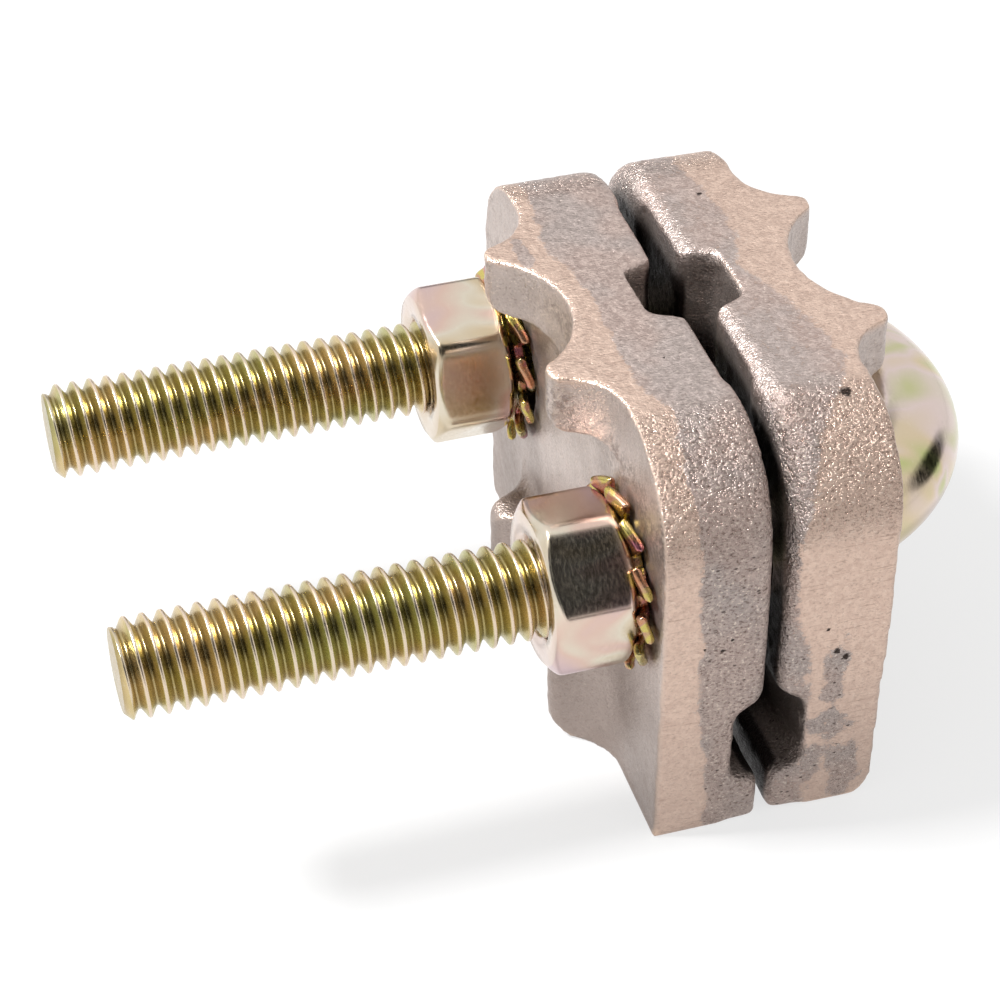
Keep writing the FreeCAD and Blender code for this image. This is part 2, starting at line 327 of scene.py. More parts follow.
def tube_faces(rings, sides, closed):
    """Faces between rings of points; a closed tube also joins its last ring to its first."""
    faces = []
    for ring in range(rings if closed else rings - 1):
        after = (ring + 1) % rings
        for column in range(sides):
            following = (column + 1) % sides
            faces.append((ring * sides + column, ring * sides + following,
                          after * sides + following, after * sides + column))
    return faces


def joined(shells):
    """Points and faces of several shells as those of one mesh."""
    all_points = []
    all_faces = []
    count = 0
    for points, faces in shells:
        all_points.append(points)
        all_faces += [tuple(index + count for index in face) for face in faces]
        count += len(points)
    return np.concatenate(all_points), all_faces


def even_grained(piece, voxel):
    """Rebuild a piece's mesh from small even faces."""
    modifier = piece.modifiers.new("grain", "REMESH")
    modifier.mode = "VOXEL"
    modifier.voxel_size = voxel
    modifier.use_smooth_shade = True
    view = bpy.context.evaluated_depsgraph_get()
    piece.data = bpy.data.meshes.new_from_object(piece.evaluated_get(view))
    piece.modifiers.clear()
    piece.data.materials.clear()


def remeshed(node, name, voxel):
    """Even-grained copy of a node's mesh, in millimetres while it is worked on."""
    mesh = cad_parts[node].data.copy()
    mesh.name = name
    piece = bpy.data.objects.new(name, mesh)
    bpy.context.scene.collection.objects.link(piece)
    work = bmesh.new()
    work.from_mesh(mesh)
    bmesh.ops.remove_doubles(work, verts=work.verts, dist=CASTING_MERGE * MM)
    bmesh.ops.scale(work, vec=(1 / MM,) * 3, verts=work.verts)
    work.to_mesh(mesh)
    work.free()
    even_grained(piece, voxel)
    return piece


def mesh_points(mesh):
    """Places of all points, one row each."""
    points = np.empty(len(mesh.vertices) * 3)
    mesh.vertices.foreach_get("co", points)
    return points.reshape(-1, 3)


def mesh_normals(mesh):
    """Outward directions at all points, one row each."""
    normals = np.empty(len(mesh.vertices) * 3)
    mesh.vertex_normals.foreach_get("vector", normals)
    return normals.reshape(-1, 3)


def set_points(mesh, points):
    """Move all points to new places."""
    mesh.vertices.foreach_set("co", np.asarray(points, float).ravel())
    mesh.update()


class Neighbours:
    """Averages over the points that share an edge."""

    def __init__(self, mesh):
        edges = np.empty(len(mesh.edges) * 2, int)
        mesh.edges.foreach_get("vertices", edges)
        ends = edges.reshape(-1, 2)
        self.here = np.concatenate([ends[:, 0], ends[:, 1]])
        self.there = np.concatenate([ends[:, 1], ends[:, 0]])
        self.count = len(mesh.vertices)
        self.degree = np.maximum(np.bincount(self.here, minlength=self.count), 1)

    def mean(self, values):
        """Mean of each point's neighbours, for one value a point or for a row of them."""
        if values.ndim == 1:
            total = np.bincount(self.here, values[self.there], self.count)
            return total / self.degree
        return np.stack([self.mean(values[:, k]) for k in range(values.shape[1])], 1)

    def blur(self, values, rounds):
        """Values replaced by the mean of their neighbours, a few times over."""
        for _ in range(rounds):
            values = self.mean(values)
        return values


def step(value, low, high):
    """Smooth step from 0 at low to 1 at high."""
    t = np.clip((value - low) / (high - low), 0, 1)
    return t * t * (3 - 2 * t)


def noise_field(points, size, seed, octaves):
    """Perlin noise, about -1 to 1, with bumps of one size in millimetres."""
    shift = Vector([seed * part for part in SEED_STEP])
    total = np.zeros(len(points))
    for octave in range(octaves):
        scale = 2 ** octave / size
        total += [noise.noise(Vector(point) * scale + shift) / 2 ** octave for point in points]
    return total


def store(mesh, name, values):
    """Keep one number a point for the materials to read."""
    attribute = mesh.attributes.new(name, "FLOAT", "POINT")
    attribute.data.foreach_set("value", np.asarray(values, np.float32))


# Colours
def colour(red, green, blue):
    """Linear colour from its 0 to 255 values."""
    parts = [channel / 255 for channel in (red, green, blue)]
    return tuple(p / 12.92 if p <= 0.04045 else ((p + 0.055) / 1.055) ** 2.4 for p in parts) + (1,)


# Bronze; a pair is its darker and its lighter shade
LINISHED = (colour(210, 182, 166), colour(226, 199, 182))
LINISHED_STROKE = colour(150, 120, 105)
BROWN_SKIN = (colour(180, 159, 151), colour(204, 184, 175))
SLATE_SKIN = (colour(174, 160, 154), colour(197, 182, 176))
BLASTED = (colour(182, 168, 161), colour(201, 187, 180))
BLASTED_STAIN = colour(118, 102, 95)
DARK_GRAIN = colour(112, 91, 81)
# Painted glint for the bright grains
PAINTED_GRAIN_GLINT = colour(252, 236, 222)
# Painted shade for the sides towards the foot
PAINTED_FOOT_SHADE = colour(138, 122, 114)
# Painted dark reflection on the corners
PAINTED_CORNER_REFLECTION = colour(120, 98, 88)
PIT_SHADE = colour(76, 62, 56)
# Bright worn metal with a painted highlight for the convex edges
WORN_METAL_AND_HIGHLIGHT = colour(240, 208, 182)
# Painted shade in the gap, the grooves and the roots
PAINTED_HOLLOW_SHADE = colour(44, 35, 32)
# Painted shade inside the open pores
PAINTED_PORE_SHADE = colour(56, 43, 37)

# Chromate tints over zinc
OLIVE = colour(188, 174, 116)
CREAM = colour(218, 208, 190)
PINK = colour(216, 188, 174)
GOLD = colour(208, 186, 138)
GREEN = colour(184, 180, 124)
SAND_TINT = colour(208, 190, 160)
LILAC = colour(206, 182, 184)
COPPER = colour(196, 138, 102)
YELLOW = colour(200, 184, 100)
PALE_GREEN = colour(182, 186, 128)
PALE_LILAC = colour(214, 196, 190)
MAGENTA = colour(178, 112, 126)
BRONZE_TINT = colour(186, 148, 122)
# Deposits and painted shade in the thread's roots
THREAD_ROOT_DEPOSIT_AND_SHADE = colour(134, 116, 80)
# Painted highlight on the thread's crests
THREAD_CREST_HIGHLIGHT = colour(236, 216, 204)
RUBBED = colour(232, 224, 206)
# Bare zinc and a painted highlight on convex edges
BARE_EDGE_AND_HIGHLIGHT = colour(226, 212, 198)


# Node materials
class Graph:
    """The node tree of a new material or world, built call by call."""

    def __init__(self, owner):
        owner.use_nodes = True
        self.owner = owner
        self.tree = owner.node_tree
        self.tree.nodes.clear()

    def node(self, kind, inputs=(), **settings):
        made = self.tree.nodes.new(kind)
        for key, value in settings.items():
            setattr(made, key, value)
        for key, value in dict(inputs).items():
            if isinstance(value, bpy.types.NodeSocket):
                self.tree.links.new(value, made.inputs[key])
            else:
                made.inputs[key].default_value = value
        return made

    def place(self, stretch=(1, 1, 1)):
        """The piece's own coordinates in millimetres, stretched along each axis."""
        source = self.node("ShaderNodeTexCoord").outputs["Object"]
        scale = tuple(1 / (MM * part) for part in stretch)
        made = self.node("ShaderNodeVectorMath", {0: source, 1: scale}, operation="MULTIPLY")
        return made.outputs["Vector"]

    def attribute(self, name):
        """A mark that the mesh keeps at its points."""
        return self.node("ShaderNodeAttribute", attribute_name=name).outputs["Fac"]

    def noise(self, where, size, detail=2.0, rough=0.5, distortion=0.0):
        """Noise of one bump size in millimetres, 0 to 1."""
        inputs = {"Vector": where, "Scale": 1 / size, "Detail": detail, "Roughness": rough,
                  "Distortion": distortion}
        return self.node("ShaderNodeTexNoise", inputs).outputs["Fac"]

    def cells(self, where, size):
        """Distance to the middle of the nearest cell, in cells of one size in millimetres."""
        inputs = {"Vector": where, "Scale": 1 / size}
        return self.node("ShaderNodeTexVoronoi", inputs).outputs["Distance"]

    def maths(self, operation, first, second):
        made = self.node("ShaderNodeMath", {0: first, 1: second}, operation=operation)
        return made.outputs["Value"]

    def plus(self, first, second):
        return self.maths("ADD", first, second)

    def less(self, first, second):
        return self.maths("SUBTRACT", first, second)

    def times(self, first, second):
        return self.maths("MULTIPLY", first, second)

    def larger(self, first, second):
        return self.maths("MAXIMUM", first, second)

    def spread(self, value, low, high, to_low=0.0, to_high=1.0):
        """Smooth change from one range to another."""
        inputs = {"Value": value, "From Min": low, "From Max": high, "To Min": to_low,
                  "To Max": to_high}
        made = self.node("ShaderNodeMapRange", inputs, interpolation_type="SMOOTHSTEP")
        return made.outputs["Result"]

    def mix(self, share, first, second):
        """Blend from the first colour to the second."""
        made = self.node("ShaderNodeMix", {0: share, 6: first, 7: second}, data_type="RGBA")
        return made.outputs[2]

    def ramp(self, value, *stops):
        """Colour for a value between 0 and 1, from stops of (place, colour)."""
        made = self.node("ShaderNodeValToRGB", {"Fac": value})
        elements = made.color_ramp.elements
        while len(elements) < len(stops):
            elements.new(0.5)
        for element, (place, shade) in zip(elements, stops):
            element.position = place
            element.color = shade
        return made.outputs["Color"]

    def bump(self, height):
        """Relief from a height in millimetres."""
        return self.node("ShaderNodeBump", {"Height": height, "Distance": MM}).outputs["Normal"]

    def light(self, strength):
        """White light of one strength."""
        return self.node("ShaderNodeEmission", {"Color": WHITE, "Strength": strength}).outputs[0]

    def background_rays(self):
        """1 for rays that show the background: seen, mirrored or through something clear."""
        path = self.node("ShaderNodeLightPath").outputs
        seen = self.larger(path["Is Camera Ray"], path["Is Glossy Ray"])
        return self.larger(seen, path["Is Transmission Ray"])

    def finish(self, shader, output="ShaderNodeOutputMaterial"):
        """Join a shader to the tree's output."""
        out = self.node(output)
        self.tree.links.new(shader, out.inputs["Surface"])

    def metal(self, **inputs):
        """The finished material with one metallic surface."""
        sockets = {key.replace("_", " "): value for key, value in inputs.items()}
        self.finish(self.node("ShaderNodeBsdfPrincipled", sockets).outputs["BSDF"])
        return self.owner


def open_pores(g, where, grain):
    """1 inside the open pores of the castings, whose edges the grain frays."""
    pore = 0.0
    for centre, radius in PORES:
        away = g.node("ShaderNodeVectorMath", {0: where, 1: centre}, operation="DISTANCE")
        away = g.plus(away.outputs["Value"], g.times(grain, PORE_FRAY * radius))
        start, full = PORE_EDGE
        pore = g.larger(pore, g.spread(away, radius * start, radius * full))
    return pore


def bronze():
    """Sand-cast bronze: linished copper-pink rim, grey-brown skin, pale blasted outer side.

    The first range of a spread is the part of a pattern or mark, 0 to 1, over which it comes in,
    and the second is the share that it then has.
    """
    g = Graph(bpy.data.materials.new("cast_bronze"))
    where = g.place()
    level = g.node("ShaderNodeSeparateXYZ", {0: where}).outputs["Z"]
    grain = g.noise(g.place(GRAIN_STRETCH), GRAIN_SIZE, rough=0.6)
    crumbs = g.noise(where, CRUMB_SIZE, detail=3.0, rough=0.6)
    strokes = g.noise(g.place(STROKE_STRETCH), STROKE_SIZE)
    cloud = g.noise(where, CLOUD_SIZE)
    pits = g.cells(g.place(PIT_STRETCH), PIT_SIZE)
    rim, skin, edge, shaded_hollow, corner, side = [g.attribute(mark) for mark in CASTING_MARKS]

    # The skin covers the metal where its mask, broken up by crumbs and grain, is high
    ragged = g.plus(skin, g.times(g.less(crumbs, 0.5), SKIN_FRAY_CRUMBS))
    ragged = g.plus(ragged, g.times(g.less(grain, 0.5), SKIN_FRAY_GRAIN))
    covered = g.spread(ragged, 0.36, 0.64)
    side_skin = g.times(covered, side)

    # Ground colours of the linished rim, its skin and the blasted side with its stains
    light_crumbs = g.spread(crumbs, 0.34, 0.66)
    stroke_marks = g.spread(strokes, 0.61, 0.73, 0.0, 0.42)
    linished = g.mix(stroke_marks, g.mix(light_crumbs, *LINISHED), LINISHED_STROKE)
    brown = g.mix(light_crumbs, *BROWN_SKIN)
    slate = g.mix(light_crumbs, *SLATE_SKIN)
    skin_colour = g.mix(g.spread(cloud, 0.40, 0.62), brown, slate)
    blasted = g.mix(g.spread(cloud, 0.34, 0.66), *BLASTED)
    stains = g.times(g.spread(cloud, 0.50, 0.62), g.spread(level, *STAIN_HEIGHTS, 0.0, 0.6))
    stains = g.times(stains, g.spread(crumbs, 0.38, 0.58))
    blasted = g.mix(stains, blasted, BLASTED_STAIN)
    base = g.mix(rim, blasted, g.mix(covered, linished, skin_colour))

    # Dark grains, and bright grains that are painted glints: most on the sandy corners and on the
    # skin of the sides
    grit_and_glints = g.times(g.larger(side_skin, corner), SANDY_GRIT_AND_GLINTS)
    grit_and_glints = g.plus(grit_and_glints, g.spread(covered, 0.0, 1.0, 0.24, 0.38))
    grit_and_glints = g.larger(grit_and_glints, g.less(BLASTED_GRIT_AND_GLINTS, rim))
    base = g.mix(g.times(g.spread(grain, 0.46, 0.30), grit_and_glints), base, DARK_GRAIN)
    # Painted glints on the bright grains
    base = g.mix(g.times(g.spread(grain, 0.57, 0.72), grit_and_glints), base, PAINTED_GRAIN_GLINT)

    # Painted shade towards the foot and a painted dark reflection on the corners, then pits, worn
    # edges with a painted highlight, and painted shade in hollows and pores
    # Painted shade: the sides darken towards the foot, the blasted side most
    low = g.times(g.spread(level, *FOOT_HEIGHTS), g.spread(rim, 0.0, 1.0, 0.66, 0.30))
    base = g.mix(low, base, PAINTED_FOOT_SHADE)
    # Painted dark reflection on the corners
    base = g.mix(g.times(corner, PAINTED_CORNER_REFLECTION_SHARE), base, PAINTED_CORNER_REFLECTION)
    deep_pits = g.times(g.spread(pits, 0.17, 0.06), g.spread(side, 0.0, 1.0, 0.25, 0.9))
    deep_pits = g.times(deep_pits, g.spread(covered, 0.0, 1.0, 0.15, 1.0))
    base = g.mix(deep_pits, base, PIT_SHADE)
    # Bright worn metal and a painted highlight along the convex edges
    base = g.mix(g.spread(edge, 0.35, 0.9, 0.0, 0.6), base, WORN_METAL_AND_HIGHLIGHT)
    # Painted shade in the gap between the jaws, the grooves and the concave roots
    base = g.mix(g.spread(shaded_hollow, 0.1, 0.85, 0.0, 0.95), base, PAINTED_HOLLOW_SHADE)
    # Painted shade inside the open pores
    pore = open_pores(g, where, grain)
    base = g.mix(pore, base, PAINTED_PORE_SHADE)

    # One relief from all patterns, in millimetres
    rough = g.less(g.spread(crumbs, 0.3, 0.7, *BRONZE_ROUGHNESS), g.times(corner, CORNER_SMOOTHER))
    rougher = g.plus(g.times(side_skin, SIDE_RELIEF), 1.0)
    rougher = g.plus(rougher, g.times(corner, CORNER_RELIEF))
    height = g.times(strokes, STROKE_HEIGHT)
    for pattern, tall in ((crumbs, CRUMB_HEIGHT), (grain, GRAIN_HEIGHT)):
        bumps = g.times(g.less(pattern, 0.5), rougher)
        height = g.plus(height, g.times(bumps, tall))
    height = g.less(height, g.times(deep_pits, PIT_DEPTH))
    height = g.less(height, g.times(pore, PORE_DEPTH))
    return g.metal(Base_Color=base, Metallic=BRONZE_METALLIC, Roughness=rough,
                   Normal=g.bump(height))


def zinc(name, drift_size, roughness, scratch, stops, bend_stops=None):
    """Yellow chromate over zinc: tints that drift from olive to pink, with fine rubs.

    With tints for the bend, the piece is the bolt: its thread's roots are darkened by deposits and
    painted shade, and its crests paled by a painted highlight.
    """
    g = Graph(bpy.data.materials.new(name))
    where = g.place()
    drift = g.noise(where, drift_size, detail=1.5, distortion=0.6)
    rubs = g.noise(g.place(RUB_STRETCH), RUB_SIZE, detail=3.0, rough=0.6)
    grain = g.noise(where, ZINC_GRAIN_SIZE, rough=0.6)
    base = g.ramp(drift, *stops)
    rough = g.spread(rubs, 0.3, 0.7, roughness, roughness + RUB_ROUGHER)
    if bend_stops is not None:
        plain = g.attribute("plain")
        root = g.attribute("root")
        base = g.mix(plain, base, g.ramp(drift, *bend_stops))
        # Deposits and painted shade darken the thread's roots
        base = g.mix(g.spread(root, 0.3, 0.95, 0.0, 0.5), base, THREAD_ROOT_DEPOSIT_AND_SHADE)
        # Painted highlight along the thread's crests
        crest = g.times(g.spread(root, 0.12, 0.02, 0.0, 0.65), g.less(1.0, plain))
        base = g.mix(crest, base, THREAD_CREST_HIGHLIGHT)
        rough = g.less(rough, g.times(plain, BEND_SMOOTHER))
    base = g.mix(g.spread(rubs, 0.60, 0.74, 0.0, 0.2), base, RUBBED)
    # Bare zinc and a painted highlight along convex edges
    base = g.mix(g.spread(g.attribute("edge"), 0.3, 0.9, 0.0, 0.6), base, BARE_EDGE_AND_HIGHLIGHT)
    height = g.plus(g.times(rubs, scratch), g.times(grain, ZINC_GRAIN_HEIGHT))
    return g.metal(Base_Color=base, Metallic=1.0, Roughness=rough, Normal=g.bump(height))


# Castings
def as_cast(points, node):
    """Points of a jaw as (across, depth from its inner face, height), before it is hung."""
    if node == "front_jaw":
        return np.stack([points[:, 0], FRONT_HIGH[1] - points[:, 1], points[:, 2]], 1)
    out = points[:, 1] - (FRONT_HIGH[1] + JAW_GAP)
    up = points[:, 2] - BACK_HIGH[2]
    return np.stack([points[:, 0], out * math.cos(BACK_LEAN) - up * math.sin(BACK_LEAN),
                     out * math.sin(BACK_LEAN) + up * math.cos(BACK_LEAN) + JAW_TOP], 1)


def rim_place(across, height):
    """Depth inside the front outline, and place along it from the middle of the top."""
    side = np.abs(across)
    half = JAW_HALF - END_TAPER * np.clip((LEG_HEIGHT - height) / LEG_HEIGHT, 0, 1)
    inner = JAW_HALF - CORNER_RADIUS
    shoulder = JAW_TOP - CORNER_RADIUS
    in_corner = (side > inner) & (height > shoulder)
    round_depth = CORNER_RADIUS - np.hypot(side - inner, height - shoulder)
    depth = np.where(in_corner, round_depth, np.minimum(half - side, JAW_TOP - height))
    turn = np.arctan2(side - inner, height - shoulder)
    down = inner + CORNER_RADIUS * math.pi / 2 + (shoulder - height)
    place = np.where(in_corner, inner + CORNER_RADIUS * turn,
                     np.where(height > shoulder, side, down))
    return depth, place * np.sign(across)


def skin_mask(node, place, deep, points):
    """Where the brown skin is left: a band by the inner face, and islands."""
    ragged = noise_field(points, *SKIN_OUTLINE)
    reach = np.interp(place, *zip(*SKIN_REACH[node]))
    skin = step(reach - deep + SKIN_RAGGEDNESS * ragged, *SKIN_FADE)
    for along, depth, half_along, half_depth in SKIN_ISLANDS[node]:
        away = np.hypot((place - along) / half_along, (deep - depth) / half_depth)
        skin = np.maximum(skin, step(away + ISLAND_RAGGEDNESS * ragged, *ISLAND_FADE))
    return skin * SKIN_STRENGTH[node]


def softened(points, node, ring):
    """Points with all edges rounded a little, and those near the inner face more."""
    soft = step(as_cast(points, node)[:, 1], *INNER_EDGE_FADE)
    share = (SOFTEN_ALL + SOFTEN_INNER * soft)[:, None]
    for _ in range(SOFTEN_ROUNDS):
        points = points + (ring.mean(points) - points) * share
    return points


def uneven(points, bumps):
    """Depth of one kind of cast unevenness at each point."""
    size, mean, swing, seed, octaves = bumps
    return mean + swing * noise_field(points, size, seed, octaves)


def on_rim(share, rim):
    """A share on the linished rim that grows to 1 on the blasted side."""
    return share + (1 - share) * (1 - rim)


def casting(node, name):
    """One jaw with cast unevenness, worn edges, and the marks for its material."""
    piece = remeshed(node, name, CASTING_VOXEL)
    mesh = piece.data
    ring = Neighbours(mesh)
    points = softened(mesh_points(mesh), node, ring)
    set_points(mesh, points)
    normals = mesh_normals(mesh)
    across, deep, height = as_cast(points, node).T
    depth, place = rim_place(across, height)
    around = np.abs(place)

    # Masks: linished rim, foot, sandy corners, edges and roots
    rim = step(depth, *RIM_FADE) * step(np.abs(normals[:, 1]), *RIM_SLOPE_FADE)
    rim = np.maximum(rim, step(depth, *INNER_RIM_FADE) * step(deep, *INNER_FACE_FADE))
    foot = step(points[:, 2], *FOOT_FADE)
    corner = step(around, *CORNER_START) * step(around, *CORNER_END) * rim
    bend = np.einsum("ij,ij->i", points - ring.mean(points), normals)
    bend = ring.blur(bend, 2)
    convex = np.clip(bend / FULL_CONVEX, 0, 1)
    concave = np.clip(-bend / FULL_CONCAVE, 0, 1)

    # What sand and wear take off, and the rounded edge of the inner face
    drop = CAST_SKIM + uneven(points, WAVES) * on_rim(WAVES_ON_RIM, rim)
    drop += uneven(points, LUMPS) * on_rim(LUMPS_ON_RIM, rim)
    drop += uneven(points, SAND) * on_rim(SAND_ON_RIM, rim)
    drop += uneven(points, CORNER_SAND) * corner
    drop += uneven(points, WORN_EDGES) * convex
    lip = np.interp(around, INNER_ROUND_PLACES, (INNER_ROUND[node], INNER_ROUND_LOW))
    past = np.hypot(np.clip(lip - deep, 0, None), np.clip(lip - depth, 0, None))
    drop += np.clip(past - lip, 0, None)
    drop = np.clip(drop, 0.0, None) * (1 - foot)
    set_points(mesh, points - normals * drop[:, None])

    # Mask of painted shade: the gap behind the rounded edge, the grooves and concave roots
    gap = step(depth / lip, *GAP_DEPTH_FADE) * step(deep, *GAP_FADE)
    groove = step(depth, *GROOVE_DEPTH_FADE) * step(deep, *GROOVE_FADE)
    shaded_hollow = np.maximum(np.maximum(gap, groove), ROOT_HOLLOW * concave * (1 - rim))
    # Convex edges away from the inner face: bright worn metal and a painted highlight
    worn = convex * step(deep, *WORN_AND_HIGHLIT_FADE)
    marks = (ring.blur(rim, 1), skin_mask(node, place, deep, points), ring.blur(worn, 1),
             ring.blur(shaded_hollow, 1), corner, step(around, *SIDE_START))
    for mark, values in zip(CASTING_MARKS, marks):
        store(mesh, mark, values)
    set_points(mesh, mesh_points(mesh) * MM)
    return piece


# U-bolt
def thread_drop(turned):
    """Depth of the thread below its crest, for a place in pitches from a crest."""
    share = np.abs((turned + 0.5) % 1.0 - 0.5)
    places, drops = zip(*THREAD_PROFILE)
    return THREAD_DEPTH * np.interp(share, places, drops)


def threaded_leg(side):
    """Points and faces of one leg: a helical strip with a chamfered tip and a run-out."""
    shares = [place for place, _ in THREAD_PROFILE]
    row_places = [-share for share in reversed(shares[1:-1])] + shares
    per_pitch = len(row_places)
    turns = int(THREAD_LENGTH / PITCH) + 3
    starts = np.array([(turn - 1 + place) * PITCH for turn in range(turns) for place in row_places])
    angles = np.arange(LEG_SIDES) * 2 * math.pi / LEG_SIDES
    along = np.clip(starts[:, None] + PITCH * angles[None, :] / (2 * math.pi), 0, THREAD_LENGTH)
    turned = along / PITCH - angles[None, :] / (2 * math.pi)
    fade = step(along, THREAD_LENGTH, THREAD_LENGTH - THREAD_RUN_OUT)
    radius = LEG_RADIUS - thread_drop(turned) * fade
    radius = np.minimum(radius, LEG_RADIUS - TIP_CHAMFER + along)
    points = np.stack([side * BEND_RADIUS + radius * np.sin(angles), LEG_TIP + along,
                       LEG_HEIGHT + radius * np.cos(angles)], 2)
    rows = len(starts)
    faces = []
    for row in range(rows - 1):
        for column in range(LEG_SIDES):
            if column + 1 < LEG_SIDES:
                shift, following = 0, column + 1
            else:
                shift, following = per_pitch, 0
            if row + 1 + shift < rows:
                faces.append((row * LEG_SIDES + column, (row + 1) * LEG_SIDES + column,
                              (row + 1 + shift) * LEG_SIDES + following,
                              (row + shift) * LEG_SIDES + following))
    return points.reshape(-1, 3), faces


def plain_bend():
    """Points and faces of the plain bar between the two threads."""
    straight = BEND_CENTRE - LEG_TIP - THREAD_LENGTH
    length = 2 * straight + math.pi * BEND_RADIUS
    angles = np.arange(LEG_SIDES) * 2 * math.pi / LEG_SIDES
    points = []
    for index in range(BEND_RINGS + 1):
        gone = length * index / BEND_RINGS
        if gone < straight:
            turn, back = 0.0, straight - gone
        elif gone > length - straight:
            turn, back = math.pi, gone - (length - straight)
        else:
            turn, back = (gone - straight) / BEND_RADIUS, 0.0
        out = np.array([math.cos(turn), math.sin(turn), 0.0])
        middle = BEND_RADIUS * out + np.array([0.0, BEND_CENTRE - back, LEG_HEIGHT])
        for angle in angles:
            points.append(middle + LEG_RADIUS * (math.sin(angle) * out + math.cos(angle) * UP))
    return np.array(points), tube_faces(BEND_RINGS + 1, LEG_SIDES, False)


def bolt():
    """The whole U-bolt as one mesh, with marks for its thread's depth and its plain part."""
    shells = (threaded_leg(1), threaded_leg(-1), plain_bend())
    piece = make_piece("threaded_u_bolt", *joined(shells))
    clean(piece, BOLT_MERGE)
    close_holes(piece)
    points = mesh_points(piece.data) / MM
    out = np.hypot(np.abs(points[:, 0]) - BEND_RADIUS, points[:, 2] - LEG_HEIGHT)
    plain = step(points[:, 1], LEG_TIP + THREAD_LENGTH - PITCH, LEG_TIP + THREAD_LENGTH)
    store(piece.data, "root", (LEG_RADIUS - out) / THREAD_DEPTH * (1 - plain))
    store(piece.data, "plain", plain)
    return piece


# Nuts
def soft_least(values, sharpness):
    """Smooth minimum of a few arrays, for rounded edges."""
    least = np.minimum.reduce(values)
    total = sum(np.exp(-sharpness * (value - least)) for value in values)
    return least - np.log(total) / sharpness


def nut(node, side, name):
    """Hex nut with domed corners, 30 degree chamfers and rounded edges, swept round its bore."""
    low, high = box_mm(node)
    height = high[1] - low[1]
    angles = np.arange(NUT_SIDES) * 2 * math.pi / NUT_SIDES
    flats = [np.abs(np.cos(angles - math.pi / 6 - k * math.pi / 3)) ** NUT_CORNER_POWER
             for k in range(3)]
    hexagon = NUT_FLATS / 2 * sum(flats) ** (-1 / NUT_CORNER_POWER)
    climb = 1 / math.tan(NUT_CHAMFER)

    # Section of the bore and of one end face, and rows along the outside, closer at the ends
    mouth = NUT_BORE + NUT_MOUTH
    bore = [(NUT_BORE, height - NUT_MOUTH), (NUT_BORE, height / 2), (NUT_BORE, NUT_MOUTH)]
    end = [(NUT_BORE + NUT_MOUTH / 2, NUT_MOUTH / 2), (mouth, 0.0),
           ((mouth + NUT_FACE_RADIUS) / 2, 0.0)]
    half = np.concatenate([np.linspace(0, NUT_END_RUN, NUT_END_ROWS),
                           np.linspace(NUT_END_RUN, height / 2, NUT_SIDE_ROWS)[1:]])
    rows = [(np.full(NUT_SIDES, radius), along) for radius, along in bore + end]
    for along in np.concatenate([half, (height - half[::-1])[1:]]):
        cone = np.full(NUT_SIDES, NUT_FACE_RADIUS + along * climb)
        other = np.full(NUT_SIDES, NUT_FACE_RADIUS + (height - along) * climb)
        rows.append((soft_least([hexagon, cone, other], NUT_EDGE_SHARPNESS), along))
    rows += [(np.full(NUT_SIDES, radius), height - along) for radius, along in reversed(end)]

    turned = angles + math.radians(NUT_TURNS[node])
    points = []
    for radius, along in rows:
        points.append(np.stack([side * BEND_RADIUS + radius * np.cos(turned),
                                np.full(NUT_SIDES, low[1] + along),
                                LEG_HEIGHT + radius * np.sin(turned)], 1))
    piece = make_piece(name, np.concatenate(points), tube_faces(len(rows), NUT_SIDES, True))
    clean(piece, NUT_MERGE)
    return piece


def mark_edges(piece, full):
    """Store how sharply a piece in metres bends outwards at each point."""
    mesh = piece.data
    ring = Neighbours(mesh)
    points = mesh_points(mesh) / MM
    bend = np.einsum("ij,ij->i", points - ring.mean(points), mesh_normals(mesh))
    store(mesh, "edge", np.clip(ring.blur(bend, 1) / full, 0, 1))


# Star washers
def nut_face(node, radius, angles):
    """How far a nut reaches towards the jaw, for each place of its washer."""
    across = (angles - math.radians(NUT_TURNS[node])) % (math.pi / 3) - math.pi / 6
    covered = radius < NUT_FLATS / 2 / np.cos(across)
    seat = box_mm(node)[1][1]
    chamfer = np.clip(radius - NUT_FACE_RADIUS, 0, None) * math.tan(NUT_CHAMFER)
    return np.where(covered, seat - chamfer, -np.inf)


def washer_ring(middle):
    """Points and faces of the flat ring, as (across, along, up) from the leg's axis."""
    half = WASHER_SHEET / 2
    section = ((WASHER_HOLE, -half), (WASHER_RING, -half), (WASHER_RING, half),
               (WASHER_HOLE, half))
    points = []
    for index in range(WASHER_SIDES):
        angle = 2 * math.pi * index / WASHER_SIDES
        for radius, along in section:
            points.append((radius * math.cos(angle), middle + along, radius * math.sin(angle)))
    return np.array(points), tube_faces(WASHER_SIDES, len(section), True)


